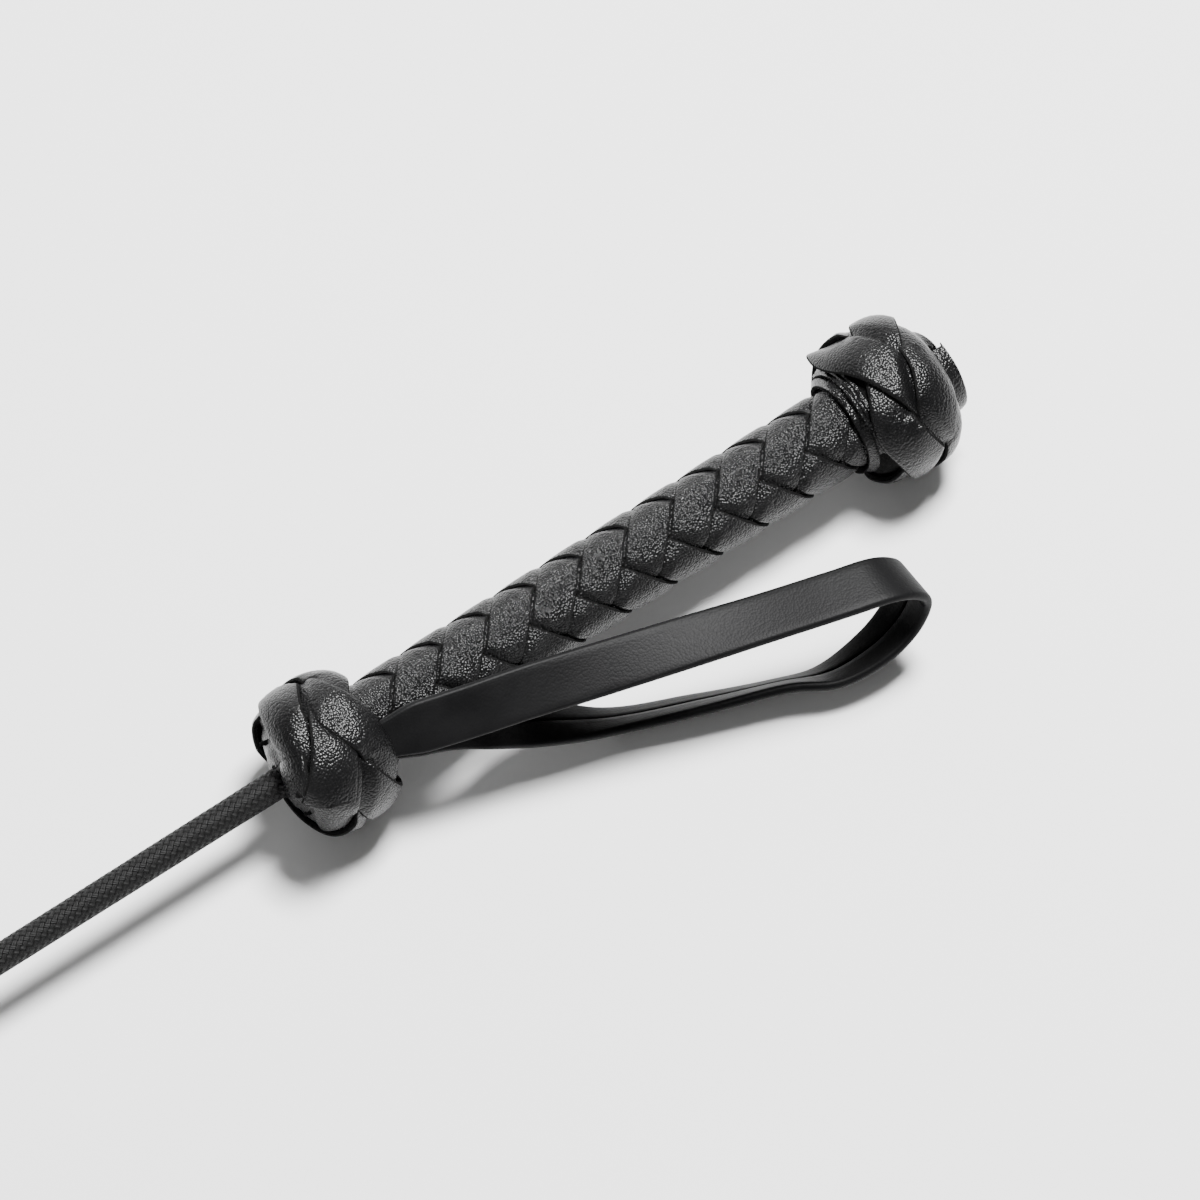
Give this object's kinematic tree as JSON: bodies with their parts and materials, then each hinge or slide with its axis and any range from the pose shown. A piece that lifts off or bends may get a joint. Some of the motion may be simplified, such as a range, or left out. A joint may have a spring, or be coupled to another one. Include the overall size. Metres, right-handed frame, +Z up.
{
  "type": "riding crop",
  "caption": "Riding crop with a braided leather grip between Turk's head knots, a folded wrist strap, a textile-covered springy rod and a folded leather keeper.",
  "frame": {"origin": "on the table, under the middle of the crop's footprint as it lies on its two knots", "axes": "+X along the crop towards the knob, +Z up, the wrist strap lies on the -Y side"},
  "size_m": [0.6516, 0.0672, 0.0375],
  "materials": {
    "leather": "satin",
    "strap_leather": "satin",
    "filling_leather": "matte",
    "keeper_leather": "satin",
    "textile": "matte",
    "thread": "matte",
    "fibreglass": "satin",
    "core_wood": "matte",
    "core_plastic": "matte"
  },
  "bodies": {
    "handle": {"shaft_rod": "fibreglass", "shaft_cover": "textile", "grip_core": "core_wood", "grip_strand_1": "leather", "grip_strand_2": "leather", "grip_strand_3": "leather", "grip_strand_4": "leather", "grip_strand_5": "leather", "grip_strand_6": "leather", "grip_strand_7": "leather", "grip_strand_8": "leather", "grip_whipping_lower": "thread", "grip_whipping_upper": "thread", "knot_collar": "filling_leather", "knot_lace": "leather", "strap_tail_lower": "strap_leather", "strap_tail_upper": "strap_leather", "knob_core": "core_plastic", "knob_lace": "leather", "knob_lace_end_1": "leather", "knob_lace_end_2": "leather", "knob_lace_end_3": "leather", "tip_cap": "core_plastic", "keeper_sleeve": "keeper_leather", "keeper_whipping": "thread"},
    "wrist_strap": {"wrist_strap": "strap_leather"},
    "keeper": {"keeper_flap": "keeper_leather"}
  },
  "joints": [
    {"name": "wrist_strap_swing", "type": "hinge", "parent": "handle", "child": "wrist_strap", "pos_m": [0.17802, 0.00484, 0.02762], "axis": [0, 0, 1], "range_deg": [-85, 3]},
    {"name": "keeper_flex", "type": "hinge", "parent": "handle", "child": "keeper", "pos_m": [-0.26877, 0.01484, 0.01877], "axis": [0, 1, 0], "range_deg": [-50, 50], "stiffness_Nm_per_rad": 0.08}
  ]
}
